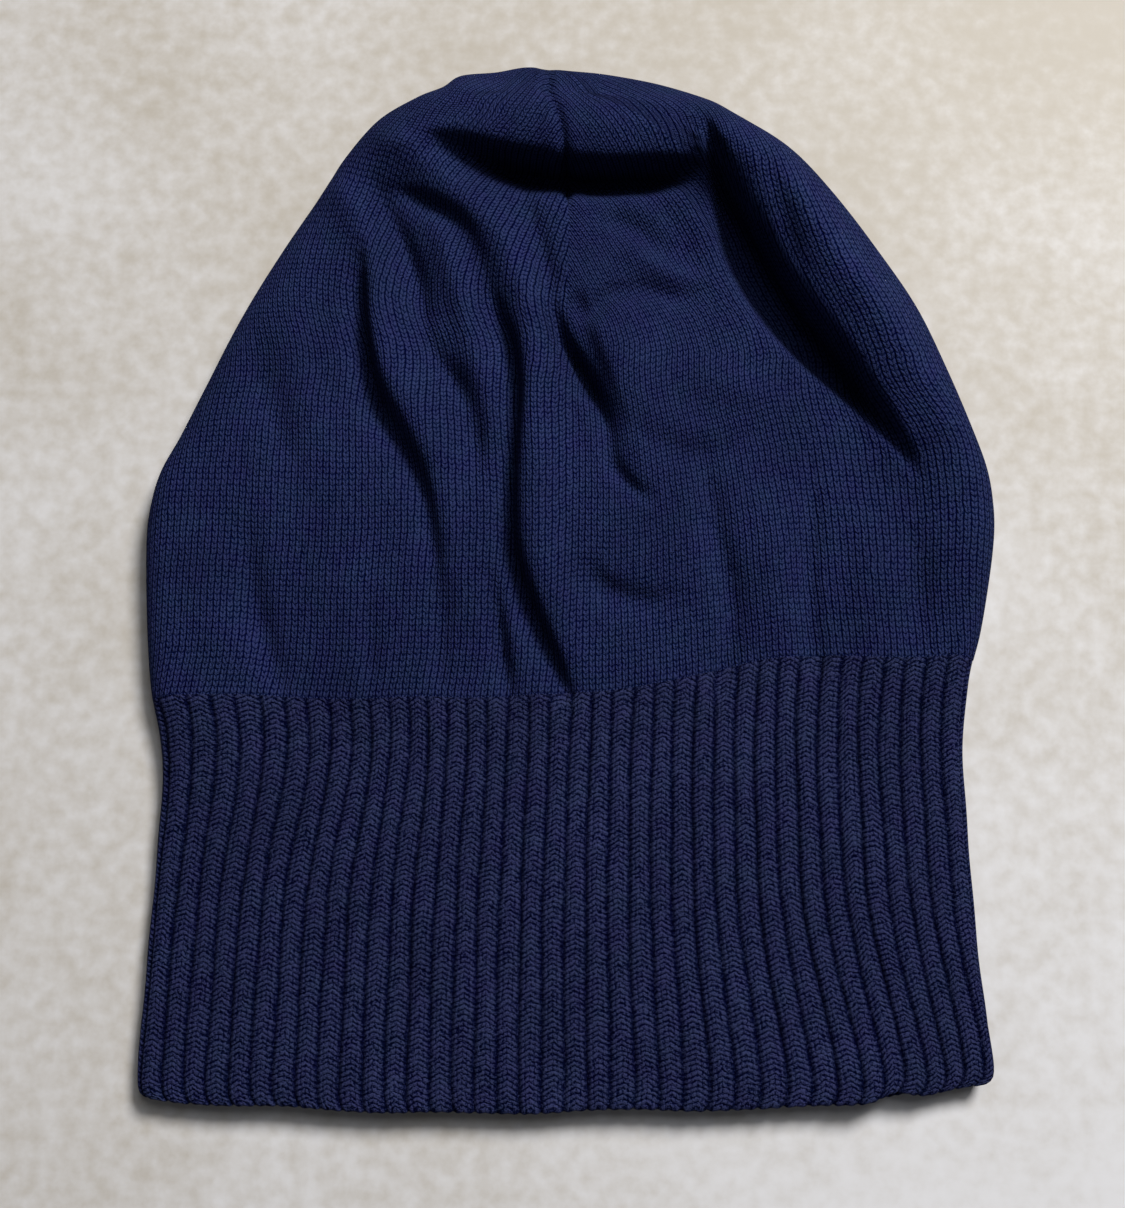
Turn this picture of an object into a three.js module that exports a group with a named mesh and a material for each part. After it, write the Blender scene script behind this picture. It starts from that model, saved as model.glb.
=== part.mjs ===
import * as THREE from "three";

// A knitted cap lying flat on its back: X runs across, Y from the hem to the crown, Z up from the
// table. It is a pouch, open at the hem, of knitted walls that meet in seams. Millimetres.

const RIB_WALL = 3.2;
const JERSEY_WALL = 2.4;
const JOIN_GAP = 0.34;
const WELT_HEIGHT = 5;
const BAND_HEIGHT = 126;
const DART_BASE = 216;
const SEAM_WIDTH = 8;
const SEAM_THICKNESS = 1.6;
const FRONT_DART_TOP = 292;
const SIDE_DART_TOP = 282;
const TACK_SIZE = new THREE.Vector3(2.6, 1.2, 1.3);
const TACK_DEPTH = 5.6;

// Stations from the hem to the apex: height above the hem, left edge, right edge, radius of the
// side folds, and how far the front puffs up above them.
const STATIONS = [
  [0, -118, 114, 6.9, 0],
  [7, -121, 116, 7, 0],
  [34, -119, 114.5, 7, 0],
  [70, -117, 113, 7, 0],
  [103, -116.5, 113, 7, 1],
  [124, -120, 118, 7.2, 3],
  [145, -122.5, 121.5, 7.6, 5],
  [166, -123, 123, 8, 6],
  [186, -117, 120, 8.4, 7],
  [214, -103, 109.5, 8.8, 8],
  [246, -86, 92, 9, 9],
  [272, -71, 72, 9, 10],
  [287, -58, 53, 8.6, 11],
  [297, -44, 35, 7, 9],
  [303, -30, 15, 5, 4],
  [305.6, -20, -1, 3.4, 1],
  [306, -15, -6, 2.5, 0],
];

// A quarter of each section loop has a flat share, then the share that bends round the side fold.
const FLAT_SHARE = 7 / 12;
const STEPS_PER_QUARTER = 12;

// Places round a section loop, in quarters, and the two ends of a wall that is cut open at the back.
const FRONT = 0;
const RIGHT = 1;
const BACK = 2;
const LEFT = 3;
const FULL_TURN = 4;

const outline = new THREE.CatmullRomCurve3(
  STATIONS.map(([height, left, right]) => new THREE.Vector3(left, height, right)),
);
const fullness = new THREE.CatmullRomCurve3(
  STATIONS.map(([height, , , edge, puff]) => new THREE.Vector3(edge, height, puff)),
);

const ribWool = { color: 0x1c2145, roughness: 0.95, metalness: 0 };
const jerseyWool = { color: 0x1a2148, roughness: 0.92, metalness: 0 };
const seamThread = { color: 0x14183a, roughness: 0.8, metalness: 0 };

// The point on the outer face at a place round the loop and a share of the way along the stations.
function outerPoint(around, along) {
  const edges = outline.getPoint(along);
  const profile = fullness.getPoint(along);
  const halfWidth = (edges.z - edges.x) / 2;
  const radius = Math.min(profile.x, halfWidth);
  const turn = THREE.MathUtils.euclideanModulo(around + 1, FULL_TURN) - 1;
  const onFront = turn <= 1;
  const offset = onFront ? turn : turn - BACK;
  const side = onFront ? Math.sign(offset) : -Math.sign(offset);
  const reach = Math.abs(offset);
  const flatHalf = halfWidth - radius;
  const bend = (Math.max(reach - FLAT_SHARE, 0) / (1 - FLAT_SHARE)) * (Math.PI / 2);
  const flatPart = Math.min(reach / FLAT_SHARE, 1);
  const puff = profile.z * (1 - flatPart ** 2) ** 2;
  const x = flatPart * flatHalf + radius * Math.sin(bend);
  const rise = radius * Math.cos(bend);
  const z = onFront ? radius + rise + puff : radius - rise;
  return new THREE.Vector3((edges.x + edges.z) / 2 + side * x, edges.y, z);
}

const PROBE = 1e-4;

function slope(pointAt, value, low, high) {
  const before = Math.max(value - PROBE, low);
  const after = Math.min(value + PROBE, high);
  return pointAt(after).sub(pointAt(before)).divideScalar(after - before);
}

function aroundSlope(around, along) {
  return slope((value) => outerPoint(value, along), around, -Infinity, Infinity);
}

function alongSlope(around, along) {
  return slope((value) => outerPoint(around, value), along, 0, 1);
}

// A point at a depth under the outer face, measured along the face's normal.
function wallPoint(around, along, depth) {
  const normal = aroundSlope(around, along).cross(alongSlope(around, along)).normalize();
  return outerPoint(around, along).addScaledVector(normal, -depth);
}

// The place round the loop that is a distance away from another one, measured along the face.
function beside(around, along, distance) {
  return around + distance / aroundSlope(around, along).length();
}

// The share along the stations at which the left edge reaches a height.
function alongAt(height) {
  let low = 0;
  let high = 1;
  for (let step = 0; step < 40; step += 1) {
    const middle = (low + high) / 2;
    if (outline.getPoint(middle).y < height) {
      low = middle;
    } else {
      high = middle;
    }
  }
  return (low + high) / 2;
}

// A closed piece of wall between two heights, two places round the loop and two depths.
function wallPiece({ from, to, start, end, outer, inner, startTrim, endTrim, acrossSteps, steps }) {
  const positions = [];
  const triangles = [];
  const columns = acrossSteps + 1;
  const rows = steps + 1;
  const layer = columns * rows;
  const low = alongAt(from);
  const high = alongAt(to);
  for (const depth of [outer, inner]) {
    for (let row = 0; row < rows; row += 1) {
      const along = THREE.MathUtils.lerp(low, high, row / steps);
      const first = beside(start, along, startTrim);
      const last = beside(end, along, -endTrim);
      for (let column = 0; column < columns; column += 1) {
        const around = THREE.MathUtils.lerp(first, last, column / acrossSteps);
        positions.push(...wallPoint(around, along, depth));
      }
    }
  }
  const corner = (row, column, depth) => depth * layer + row * columns + column;
  const quad = (a, b, c, d) => triangles.push(a, c, b, a, d, c);
  for (let row = 0; row < steps; row += 1) {
    for (let column = 0; column < acrossSteps; column += 1) {
      quad(
        corner(row, column, 0),
        corner(row + 1, column, 0),
        corner(row + 1, column + 1, 0),
        corner(row, column + 1, 0),
      );
      quad(
        corner(row, column, 1),
        corner(row, column + 1, 1),
        corner(row + 1, column + 1, 1),
        corner(row + 1, column, 1),
      );
    }
    quad(corner(row, 0, 0), corner(row, 0, 1), corner(row + 1, 0, 1), corner(row + 1, 0, 0));
    quad(
      corner(row, acrossSteps, 0),
      corner(row + 1, acrossSteps, 0),
      corner(row + 1, acrossSteps, 1),
      corner(row, acrossSteps, 1),
    );
  }
  for (let column = 0; column < acrossSteps; column += 1) {
    quad(
      corner(0, column, 0),
      corner(0, column + 1, 0),
      corner(0, column + 1, 1),
      corner(0, column, 1),
    );
    quad(
      corner(steps, column, 0),
      corner(steps, column, 1),
      corner(steps, column + 1, 1),
      corner(steps, column + 1, 0),
    );
  }
  const geometry = new THREE.BufferGeometry();
  geometry.setAttribute("position", new THREE.Float32BufferAttribute(positions, 3));
  geometry.setIndex(triangles);
  geometry.computeVertexNormals();
  return geometry;
}

function named(name, geometry, finish) {
  const mesh = new THREE.Mesh(geometry, new THREE.MeshStandardMaterial(finish));
  mesh.name = name;
  return mesh;
}

// A tube of fabric whose two edges meet at the back, as the knitted blank does once it is sewn.
function openTube(name, finish, from, to, thickness, steps) {
  const geometry = wallPiece({
    from,
    to,
    start: BACK,
    end: BACK + FULL_TURN,
    outer: 0,
    inner: thickness,
    startTrim: JOIN_GAP / 2,
    endTrim: JOIN_GAP / 2,
    acrossSteps: STEPS_PER_QUARTER * FULL_TURN,
    steps,
  });
  return named(name, geometry, finish);
}

// One of the four tapering sections above the darts.
function petal(name, start) {
  const geometry = wallPiece({
    from: DART_BASE + JOIN_GAP,
    to: STATIONS.at(-1)[0],
    start,
    end: start + 1,
    outer: 0,
    inner: JERSEY_WALL,
    startTrim: JOIN_GAP / 2,
    endTrim: JOIN_GAP / 2,
    acrossSteps: STEPS_PER_QUARTER,
    steps: 14,
  });
  return named(name, geometry, jerseyWool);
}

// The overlocked seam allowance, a strip that lies against the inner face along a seam.
function seamStrip(name, place, from, to, wall) {
  const outer = wall + JOIN_GAP;
  const geometry = wallPiece({
    from,
    to,
    start: place,
    end: place,
    outer,
    inner: outer + SEAM_THICKNESS,
    startTrim: -SEAM_WIDTH / 2,
    endTrim: -SEAM_WIDTH / 2,
    acrossSteps: 4,
    steps: 12,
  });
  return named(name, geometry, seamThread);
}

// The few stitches that draw the four sections together, just under the apex.
function apexTack() {
  const geometry = new THREE.SphereGeometry(1, 12, 8);
  geometry.scale(...TACK_SIZE);
  const mesh = named("apex_tack", geometry, seamThread);
  const [height, left, right] = STATIONS.at(-1);
  const level = height - TACK_DEPTH;
  const thickness = outerPoint(FRONT, alongAt(level)).z;
  mesh.position.set((left + right) / 2, level, thickness / 2);
  return mesh;
}

const cap = new THREE.Group();
cap.add(
  openTube("hem_welt", ribWool, 0, WELT_HEIGHT, RIB_WALL, 2),
  openTube("rib_band", ribWool, WELT_HEIGHT + JOIN_GAP, BAND_HEIGHT, RIB_WALL, 8),
  openTube("crown_body", jerseyWool, BAND_HEIGHT + JOIN_GAP, DART_BASE, JERSEY_WALL, 8),
  petal("crown_front_right", FRONT),
  petal("crown_back_right", RIGHT),
  petal("crown_back_left", BACK),
  petal("crown_front_left", LEFT),
  seamStrip("front_dart_seam", FRONT, DART_BASE, FRONT_DART_TOP, JERSEY_WALL),
  seamStrip("right_dart_seam", RIGHT, DART_BASE, SIDE_DART_TOP, JERSEY_WALL),
  seamStrip("left_dart_seam", LEFT, DART_BASE, SIDE_DART_TOP, JERSEY_WALL),
  seamStrip("crown_back_seam", BACK, BAND_HEIGHT + JOIN_GAP, FRONT_DART_TOP, JERSEY_WALL),
  seamStrip("band_back_seam", BACK, 1, BAND_HEIGHT, RIB_WALL),
  apexTack(),
);

// The origin is under the middle of the cap, on the table.
const box = new THREE.Box3().setFromObject(cap);
const middle = box.getCenter(new THREE.Vector3());
cap.position.set(-middle.x, -middle.y, -box.min.z);

export default cap;
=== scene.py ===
"""A navy knitted cap, lying flat: a deep ribbed band and a slumped jersey crown with darts."""

import math

import bmesh
import bpy
import numpy as np
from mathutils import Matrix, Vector, noise


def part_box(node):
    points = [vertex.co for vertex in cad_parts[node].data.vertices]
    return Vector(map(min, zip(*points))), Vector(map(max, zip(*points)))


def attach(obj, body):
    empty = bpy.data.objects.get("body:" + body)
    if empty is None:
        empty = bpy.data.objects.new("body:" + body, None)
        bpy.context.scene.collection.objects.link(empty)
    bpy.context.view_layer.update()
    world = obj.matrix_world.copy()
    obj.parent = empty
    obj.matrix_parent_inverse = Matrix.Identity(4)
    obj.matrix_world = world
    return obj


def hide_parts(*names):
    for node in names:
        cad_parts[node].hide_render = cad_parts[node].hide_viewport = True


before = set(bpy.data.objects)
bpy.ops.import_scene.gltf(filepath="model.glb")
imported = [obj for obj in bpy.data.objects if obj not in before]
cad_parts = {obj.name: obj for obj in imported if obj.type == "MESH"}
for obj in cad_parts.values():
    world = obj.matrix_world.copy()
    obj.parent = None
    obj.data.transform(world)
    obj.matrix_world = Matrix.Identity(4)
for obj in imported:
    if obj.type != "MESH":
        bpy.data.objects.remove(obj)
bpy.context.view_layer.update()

# ---------------------------------------------------------------- sizes
# Shapes are worked out in millimetres, in the frame of the CAD model, and scaled at the end.
MM = 0.001
hem_low, hem_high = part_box("hem_welt")
HEM_Y = hem_low.y / MM
WELT = (hem_high.y - hem_low.y) / MM
DART_BASE_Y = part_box("crown_front_left")[0].y / MM

# The cloth: the walls' thickness, the depth of the ribs outside and inside, the radius of the
# hem's roll, and how far the cloth stops from the back seam's line, in quarters of the way round.
RIB_WALL = 1.9
JERSEY_WALL = 1.8
RIB_RELIEF = 1.05
REVERSE_RELIEF = 0.8
HEM_RADIUS = 1.5
SEAM_TRIM = 0.15 / 120

# The knit: ribs round the band, the height of a course in the rib and in the jersey, and the
# width of a wale.
RIB_COUNT = 78
RIB_COURSE = 1.43
COURSE = 1.66
WALE = 1.88

# Wales are measured with this share of the folds, smoothed over this many rows of the mesh.
IRONED = 0.45
EASE_ROWS = 7

# ---------------------------------------------------------------- outline
# Points on the silhouette, from the hem to the apex: x, y and the fold's radius.
APEX = (-6.0, 151.6, 11.0)
LEFT_EDGE = [
    (-118.2, -147.4, 3.8), (-119.9, -142, 3.9), (-118.6, -112, 3.9), (-117.0, -80, 4.0),
    (-116.2, -58, 4.4), (-117.2, -44, 4.9), (-120.0, -31, 5.6), (-121.8, -16, 6.0),
    (-123.0, 2, 6.3), (-122.8, 14, 6.5), (-120.0, 27, 6.8), (-114.0, 39, 7.1),
    (-107.0, 54, 7.5), (-97.5, 74, 8.0), (-85.5, 95, 8.6), (-74.0, 113, 9.2),
    (-67.5, 124, 9.6), (-58.0, 135.5, 10.0), (-46.5, 142.8, 10.2), (-38.5, 146.2, 10.4),
    (-33.0, 149.8, 10.6), (-22.0, 150.8, 10.8), (-13.0, 152.3, 11.0), APEX,
]
RIGHT_EDGE = [
    (113.6, -145.2, 3.8), (116.2, -140, 3.9), (114.6, -112, 3.9), (113.2, -80, 4.1),
    (112.6, -58, 4.6), (114.6, -40, 5.4), (118.5, -25, 6.4), (121.2, -8, 7.6),
    (123.0, 8, 8.8), (123.0, 18, 9.3), (121.5, 28, 9.8), (117.5, 40, 10.4),
    (111.5, 55.5, 11.0), (103.0, 75, 11.6), (92.5, 92, 12.0), (78.5, 112, 12.0),
    (66.0, 126, 11.8), (50.0, 136.7, 11.4), (41.0, 142, 11.2), (27.0, 146.8, 11.0),
    (12.0, 149.9, 11.0), (2.0, 151.0, 11.0), APEX,
]
CENTRE_LINE = [
    (-2.5, -152, 0), (-2.2, -95, 0), (0, -30, 0), (1, 20, 0), (1, 45, 0), (0.5, 63, 0),
    (-0.5, 78, 0), (0, 95, 0), (-0.5, 112, 0), (-1.5, 126, 0), (-3.5, 135, 0), (-6, 140.6, 0),
]


def through(points, places):
    """A Catmull-Rom curve through points, read at places from 0 to the last point's number."""
    p = np.asarray(points, float)
    last = len(p) - 1
    places = np.clip(np.asarray(places, float), 0, last)
    i = np.minimum(places.astype(int), last - 1)
    f = (places - i)[..., None]
    a, b, c, d = (p[np.clip(i + k, 0, last)] for k in (-1, 0, 1, 2))
    return 0.5 * (2 * b + (c - a) * f + (2 * a - 5 * b + 4 * c - d) * f**2
                  + (3 * b - a - 3 * c + d) * f**3)


def dense(points, per_span=24):
    return through(points, np.linspace(0, len(points) - 1, (len(points) - 1) * per_span + 1))


def smoothstep(value, low, high):
    t = np.clip((np.asarray(value, float) - low) / (high - low), 0, 1)
    return t * t * (3 - 2 * t)


# The silhouette's outward direction is averaged over about this length, so it turns gently.
OUT_BLUR = 11.0


class Edge:
    """One side of the silhouette, read by height in the lower cap and by length above the darts."""

    def __init__(self, points):
        self.line = dense(points)
        step = np.hypot(*np.diff(self.line[:, :2], axis=0).T)
        self.length = np.concatenate([[0], np.cumsum(step)])
        self.base = np.interp(DART_BASE_Y, self.line[:, 1], self.length)
        tangent = np.gradient(self.line[:, :2], axis=0)
        tangent /= np.linalg.norm(tangent, axis=1)[:, None]
        side = -1 if points[0][0] < 0 else 1
        out = side * np.stack([tangent[:, 1], -tangent[:, 0]], 1)
        apart = (self.length[:, None] - self.length[None, :]) / OUT_BLUR
        weight = np.exp(-apart ** 2)
        self.out = weight @ out / weight.sum(1, keepdims=True)
        # Near the apex both sides face straight away from the hem, so they meet smoothly.
        level = smoothstep(self.line[:, 1], 118, 151)[:, None] * smoothstep(
            -np.abs(self.line[:, 0] - APEX[0]), -26, -2)[:, None]
        self.out = self.out * (1 - level) + np.array([0, 1.0]) * level
        self.out /= np.linalg.norm(self.out, axis=1)[:, None]

    def read(self, length):
        cols = [np.interp(length, self.length, c) for c in (*self.line.T, *self.out.T)]
        return np.stack([*cols, length], -1)

    def at_height(self, y):
        rising = self.line[:, 1] < 140
        return self.read(np.interp(y, self.line[rising, 1], self.length[rising]))

    def above_darts(self, share):
        return self.read(self.base + share * (self.length[-1] - self.base))


left_edge, right_edge = Edge(LEFT_EDGE), Edge(RIGHT_EDGE)
centre = dense(CENTRE_LINE)

# ---------------------------------------------------------------- folds
# Each fold follows a line of points (x, y, height), with a width to its left and right as seen
# when walking along it. A negative height is a crease. A higher power makes the top flatter and
# the sides steeper. The lean shifts a ridge to its right, and a crease to its left. A taper
# narrows the fold towards its shallow ends.
FOLDS = [
    # The roll along the top edge and the deep pocket under it.
    dict(line=[(-60, 130, 0), (-50, 132.5, 2.6), (-39, 133.3, 3.9), (-24, 130.6, 5.4),
               (-6, 128, 6.4), (8, 126.4, 6.8), (20, 127, 6.4), (31, 127.4, 6.4), (41, 129, 3)],
         left=12, right=9.6, power=5, lean=2.6),
    dict(line=[(-49, 127.6, 0), (-42, 126.6, -1.8), (-34, 124.9, -3.8), (-26.5, 122.4, -7.6),
               (-19, 119.9, -12.8), (-10.5, 118.0, -16.6), (1, 116.8, -17.5), (12, 116.3, -17.5),
               (23, 116.8, -14.5), (31, 117.8, -8), (38, 119.6, 0)],
         left=2.9, right=4.6, power=2.0, lean=3.4, taper=0.2),
    # The roll down the right side and the pocket beside it.
    dict(line=[(38, 138, 0), (47.5, 128, 4.5), (56, 116, 7.4), (66.5, 99, 8.8), (76, 82, 9.2),
               (87, 66, 8.2), (96, 50, 4.8), (105, 32, 0)], left=12, right=9.4, power=4.5, lean=3.4),
    dict(line=[(38.5, 134, 0), (41, 126, -4), (44.5, 117, -8), (47.5, 107, -14),
               (50.5, 96, -20), (55.5, 85, -22), (62.5, 74.5, -22), (71, 64, -19.5), (80, 54, -14),
               (88, 44, -7.6), (95, 34, -3.4), (101, 22, 0)],
         left=6.2, right=5.2, power=3.0, lean=4.2, taper=0.75),
    dict(line=[(54, 128, 0), (59, 117, -1.0), (64, 104, -1.4), (67, 92, -1.2), (72, 80, 0)],
         left=2.8, right=2.8),
    dict(line=[(20, 113, 0), (27, 107, -1.4), (32, 100, -2.0), (36, 91, -1.6), (39, 82, 0)],
         left=4, right=4),
    # The bright ridge that hooks over from the upper left and runs down the middle.
    dict(line=[(-62, 129, 0), (-50, 123, 3.4), (-38, 115, 5.2), (-27.5, 106.5, 5.8), (-19.5, 95, 5.6),
               (-14, 83, 5.6), (-10.5, 71, 6.0), (-9, 58, 7.0), (-9, 40, 7.2), (-9.5, 22, 6.6),
               (-9, 6, 5.6), (-5, -12, 4.0), (0, -27, 2.0), (2, -38, 0)],
         left=6.0, right=7.0, power=2.1, lean=1.3),
    dict(line=[(-58, 112, 0), (-48, 110.5, -2.4), (-39, 106, -3.4), (-31, 100.5, -2.2),
               (-27, 92, -0.8), (-24, 82, -1.0), (-20.5, 72, -3.6), (-17.5, 63, -6.4),
               (-15.8, 50, -6.2), (-16.8, 33, -5.8), (-17.6, 16, -6.2), (-17, 4, -7.0),
               (-13.5, -8, -6.8), (-9, -19, -6.2), (-5, -28, -5.4), (-1.5, -37, -3.0)],
         left=2.3, right=4.2, power=1.8, lean=1.5),
    # The narrow dark crease on the ridge's right, and the swell beyond it.
    dict(line=[(-9, 88, 0), (-6, 77, -3.0), (-3, 67, -7), (1, 59, -9), (5.5, 51, -8.5),
               (9, 44, -4.6), (11, 36, -2.6), (12.5, 28, -3.6), (18, 21, -3.2), (26, 16, 0)],
         left=2.6, right=2.0, power=2.0, lean=1.4),
    dict(line=[(2, 92, 0), (6, 82, 2.6), (10, 71, 4.6), (14, 60, 5.6), (18, 48, 4.4),
               (21, 36, 3.0), (26, 22, 0)], left=13, right=5.0, power=2.2, lean=1.6),
    # Creases and swells left of the middle.
    dict(line=[(-61, 96, 0), (-62, 84, -3.4), (-61.5, 72, -5.4), (-60, 60, -6.6), (-57, 48, -6.6),
               (-52, 38, -5.6), (-46, 28, -4.2), (-41.5, 16, -3.2), (-39, 0, -2.2), (-38, -20, 0)],
         left=3.0, right=3.6, power=1.8, lean=1.2),
    dict(line=[(-58, 100, 0), (-56.5, 86, 3.4), (-55, 70, 5.2), (-51, 54, 5.2), (-44, 41, 4.2),
               (-37.5, 25, 3.0), (-34, 4, 2.0), (-33, -14, 0)], left=6, right=4.2, power=2.4, lean=1.4),
    dict(line=[(-60, 118, 0), (-55, 108, -3.0), (-50, 98, -4.6), (-46, 88, -5.4), (-43.5, 78, -4.0),
               (-42, 68, -2.6), (-38, 60, -3.4), (-33, 53, -4.4), (-29, 44, -2.8), (-27, 34, -3.4),
               (-26.5, 20, 0)], left=3.0, right=3.6, power=1.8),
    dict(line=[(-76, 118, 0), (-68, 110, 2.6), (-62, 101, 3.4), (-60, 90, 2.0), (-60, 80, 0)],
         left=4.2, right=6),
    dict(line=[(-44, 106, 0), (-38, 97, 3.2), (-34.5, 86, 3.8), (-31, 74, 3.4), (-28, 62, 2.8),
               (-24, 50, 2.6), (-22, 38, 1.8), (-22, 22, 0)], left=3.8, right=4.2),
    dict(line=[(-76, 96, 0), (-80, 80, 1.6), (-80, 62, 2.0), (-76, 44, 1.6), (-72, 26, 0)],
         left=6, right=8),
    dict(line=[(-92, 74, 0), (-90, 58, -1.4), (-85, 42, -1.8), (-80, 26, -1.2), (-78, 10, 0)],
         left=5, right=5),
    dict(line=[(-23, 0, 0), (-21.5, -10, -3.4), (-20, -20, -5.4), (-18.8, -29, -5.6),
               (-17.5, -37, -2)], left=2.2, right=2.6, power=1.8),
    dict(line=[(-34, -4, 0), (-36, -14, -1.8), (-37, -26, -2.0), (-36, -37, 0)], left=3.0, right=3.4),
    dict(line=[(-93, 14, 0), (-92.5, 2, -2.4), (-91, -10, -3.4), (-88, -21, -3.4),
               (-85, -31, -2.6), (-82, -40, 0)], left=4.2, right=2.8, power=1.8),
    dict(line=[(-106, 14, 0), (-104, -6, 1.8), (-99, -22, 1.8), (-96, -34, 0)], left=6, right=8),
    dict(line=[(-64, 4, 0), (-62, -12, 1.3), (-60, -28, 1.0), (-60, -38, 0)], left=6, right=8),
    dict(line=[(-58, -6, 0), (-57.5, -16, -1.6), (-57, -28, -1.8), (-56.5, -38, 0)], left=2.6, right=3),
    # Soft creases right of the middle.
    dict(line=[(38, 34, 0), (41, 18, -2.6), (43.5, 4, -4.2), (46, -8, -4.0), (46.5, -20, -3.4),
               (44, -32, -3.0), (43, -40, 0)], left=3.4, right=3.6, power=1.8),
    dict(line=[(70, 34, 0), (70, 18, -2.2), (69, 2, -3.2), (69, -12, -3.4), (70, -26, -2.8),
               (70.5, -37, 0)], left=3.0, right=3.0, power=1.8),
    dict(line=[(56, 24, 0), (58, 6, 2.0), (58, -12, 2.2), (57, -28, 0)], left=6, right=6),
    dict(line=[(88, 22, 0), (87, 4, 2.0), (86, -12, 2.0), (87, -28, 0)], left=8, right=6),
    dict(line=[(98, 12, 0), (100, -2, -2.0), (100, -16, -2.2), (98, -28, 0)], left=4, right=4),
    dict(line=[(3, 2, 0), (9, -6, -3.0), (17, -10, -3.0), (26, -11, -2), (34, -8, 0)],
         left=3.0, right=5),
    dict(line=[(2, 80, 0), (7, 74, -3.4), (13, 79, -3.2), (22, 81, -2.4), (33, 79, -2.2), (42, 83, 0)],
         left=3.2, right=3.4),
    dict(line=[(8, 108, 0), (14, 103, -2.4), (22, 99, -2.8), (30, 92, -2.2), (38, 84, 0)],
         left=4, right=4),
    dict(line=[(14, 96, 0), (22, 90, 2.0), (32, 86, 1.8), (44, 86, 0)], left=4, right=4),
    dict(line=[(-14, 116, 0), (-12, 106, -1.8), (-9, 96, -2.6), (-6.5, 86, -3.0), (-4.5, 78, 0)],
         left=3, right=3),
    dict(line=[(14, 44, 0), (24, 36, -1.6), (36, 32, -1.8), (48, 34, -1.2), (58, 40, 0)],
         left=4, right=5),
    dict(line=[(30, 60, 0), (40, 54, 1.6), (52, 50, 1.8), (64, 46, 0)], left=6, right=6),
]


def along_path(points, spacing=1.2):
    line = dense(points)
    length = np.concatenate([[0], np.cumsum(np.hypot(*np.diff(line[:, :2], axis=0).T))])
    count = max(int(length[-1] / spacing), 4)
    places = np.linspace(0, length[-1], count)
    return np.stack([np.interp(places, length, c) for c in line.T], 1)


def fold_shift(fold, xy):
    """Height and sideways shift that one fold gives to points of the plan."""
    path = along_path(fold["line"])
    tangent = np.gradient(path[:, :2], axis=0)
    tangent /= np.linalg.norm(tangent, axis=1)[:, None]
    right = np.stack([tangent[:, 1], -tangent[:, 0]], 1)
    reach = 3.2 * max(fold["left"], fold["right"])
    low, high = path[:, :2].min(0) - reach, path[:, :2].max(0) + reach
    near = np.nonzero(np.all((xy > low) & (xy < high), axis=1))[0]
    rise = np.zeros(len(xy))
    move = np.zeros((len(xy), 2))
    if len(near) == 0:
        return rise, move
    gap = xy[near, None, :] - path[None, :, :2]
    nearest = np.argmin((gap**2).sum(-1), axis=1)
    gap = gap[np.arange(len(near)), nearest]
    side = (gap * right[nearest]).sum(-1)
    distance = np.hypot(*gap.T)
    share = path[nearest, 2] / np.abs(path[:, 2]).max()
    width = np.where(side < 0, fold["left"], fold["right"])
    blend = smoothstep(side, -1.5, 1.5)
    soft_width = fold["left"] * (1 - blend) + fold["right"] * blend
    width = np.where(distance < 1.5, soft_width, width)
    width = width * (1 - fold.get("taper", 0) * (1 - np.abs(share)))
    profile = np.exp(-((distance / width) ** fold.get("power", 2)))
    rise[near] = path[nearest, 2] * profile
    if "lean" in fold:
        move[near] = right[nearest] * (fold["lean"] * share * profile)[:, None]
    return rise, move


def folded(x, y):
    """The sum of all folds at points of the plan: height, and shift in x and y."""
    xy = np.stack([x.ravel(), y.ravel()], 1)
    rise = np.zeros(len(xy))
    move = np.zeros((len(xy), 2))
    for fold in FOLDS:
        r, m = fold_shift(fold, xy)
        rise += r
        move += m
    return rise.reshape(x.shape), move[:, 0].reshape(x.shape), move[:, 1].reshape(x.shape)


def inner_height(x, y):
    """The height of the front layer's outer face away from the side folds, before the folds."""
    crown = smoothstep(y, -52, 20)
    height = 8.8 + crown * (4.2 + 3.4 * np.exp(-((x + 12) / 95) ** 2))
    return height + 5.5 * smoothstep(y, 114, 130)


def ripple(x, y, size, seed):
    """Slow unevenness from -1 to 1, the same each run."""
    flat = [noise.noise(Vector((a / size, b / size, seed))) for a, b in zip(x.ravel(), y.ravel())]
    return np.array(flat).reshape(x.shape)


# ---------------------------------------------------------------- the lie of the cap
def hem_line(x, front):
    """How far the hem has slid from its straight line, with the lifted spot on the front."""
    wave = 0.5 * np.sin(x / 17.0 + 0.8) + 0.35 * np.sin(x / 7.3) - 0.8
    wave = wave - 1.4 * np.exp(-((x + 100) / 30) ** 2)
    lift = 3.6 * np.exp(-((x - 82) / 6) ** 2)
    return wave + lift * front


def rib_top(x):
    """The line where the rib turns into jersey, from its place on the left."""
    line = -39.0 + 1.6 * smoothstep(x, -34, -10) + 9.6 * smoothstep(x, 6, 62)
    return line + 0.5 * np.sin(x / 9.0)


def rib_lean(share, y):
    """Sideways lean of the ribs, which fan out towards the hem on the right."""
    right = 8.6 * np.exp(-((share - 0.6) / 0.33) ** 2) * (1 - smoothstep(y, -156, -88))
    left = 5.0 * np.exp(-((share + 0.56) / 0.26) ** 2) * smoothstep(y, -100, -45)
    return right + left * (1 - smoothstep(y, -30, 30))


# FLAT is the share of each quarter before it bends round the side fold, and FRONT_CLOSE the
# share of the way up the darts at which the front starts to turn over the top edge. CLEARANCE
# keeps the front layer above the back one, and RIB_BASE_Y is where the rows of the band end.
FLAT = 0.86
FRONT_CLOSE = 0.90
CLEARANCE = 5.2
CLEARANCE_BLEND = 1.1
RIB_BASE_Y = -33.0


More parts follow.
